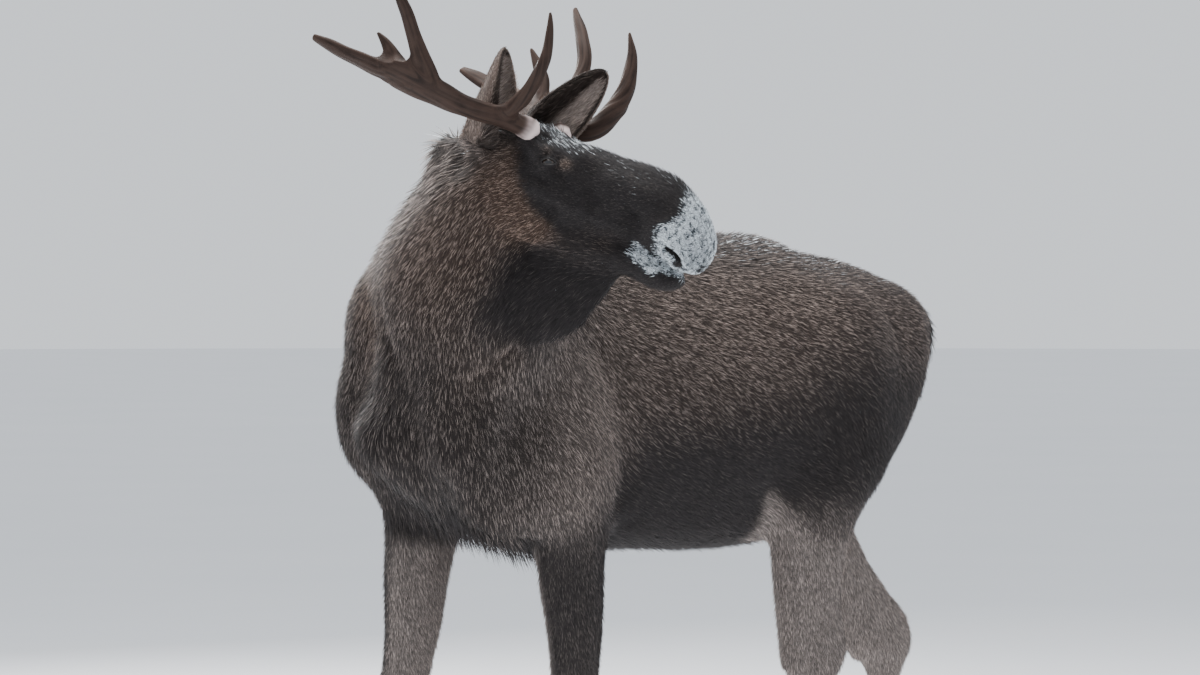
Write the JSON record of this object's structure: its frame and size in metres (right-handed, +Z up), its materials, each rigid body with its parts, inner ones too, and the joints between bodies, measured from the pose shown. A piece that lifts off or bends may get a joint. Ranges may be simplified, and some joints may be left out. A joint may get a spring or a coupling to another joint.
{
  "type": "moose figure",
  "caption": "Life-size bull moose in winter coat, standing with its head turned back over its left side, with small palmed antlers, bell and cloven hooves.",
  "frame": {"origin": "on the floor under the middle of the bounding box", "axes": "+Z up; the body faces -Y and its left side is towards +X; the head turns back towards +X and +Y"},
  "size_m": [1.2056, 2.3182, 2.4387],
  "materials": {
    "coat": "long grizzled grey-brown winter hair",
    "leg_coat": "short close taupe hair",
    "face": "short dark hair with frost on the muzzle",
    "ear_coat": "soft hair, paler inside the ear",
    "antler": "bare stained antler bone, matte",
    "hoof": "dark horn with a faint sheen",
    "eye": "wet dark eye"
  },
  "bodies": {
    "root": {"head": "face", "muzzle": "face", "chin": "face", "neck": "coat", "forequarters": "coat", "barrel": "coat", "hindquarters": "coat", "bell": "coat", "tail": "coat", "front_left_forearm": "leg_coat", "front_left_shank": "leg_coat", "front_right_forearm": "leg_coat", "front_right_shank": "leg_coat", "hind_left_gaskin": "leg_coat", "hind_left_shank": "leg_coat", "hind_right_gaskin": "leg_coat", "hind_right_shank": "leg_coat", "front_left_claw_inner": "hoof", "front_left_claw_outer": "hoof", "front_left_dewclaw_inner": "hoof", "front_left_dewclaw_outer": "hoof", "front_right_claw_inner": "hoof", "front_right_claw_outer": "hoof", "front_right_dewclaw_inner": "hoof", "front_right_dewclaw_outer": "hoof", "hind_left_claw_inner": "hoof", "hind_left_claw_outer": "hoof", "hind_left_dewclaw_inner": "hoof", "hind_left_dewclaw_outer": "hoof", "hind_right_claw_inner": "hoof", "hind_right_claw_outer": "hoof", "hind_right_dewclaw_inner": "hoof", "hind_right_dewclaw_outer": "hoof", "eye_left": "eye", "eye_right": "eye", "ear_left": "ear_coat", "ear_right": "ear_coat", "antler_left_beam": "antler", "antler_left_palm": "antler", "antler_left_brow_tine": "antler", "antler_left_top_tine": "antler", "antler_left_middle_tine": "antler", "antler_left_rear_tine": "antler", "antler_right_beam": "antler", "antler_right_palm": "antler", "antler_right_brow_tine": "antler", "antler_right_top_tine": "antler", "antler_right_middle_tine": "antler", "antler_right_rear_tine": "antler"}
  },
  "joints": []
}
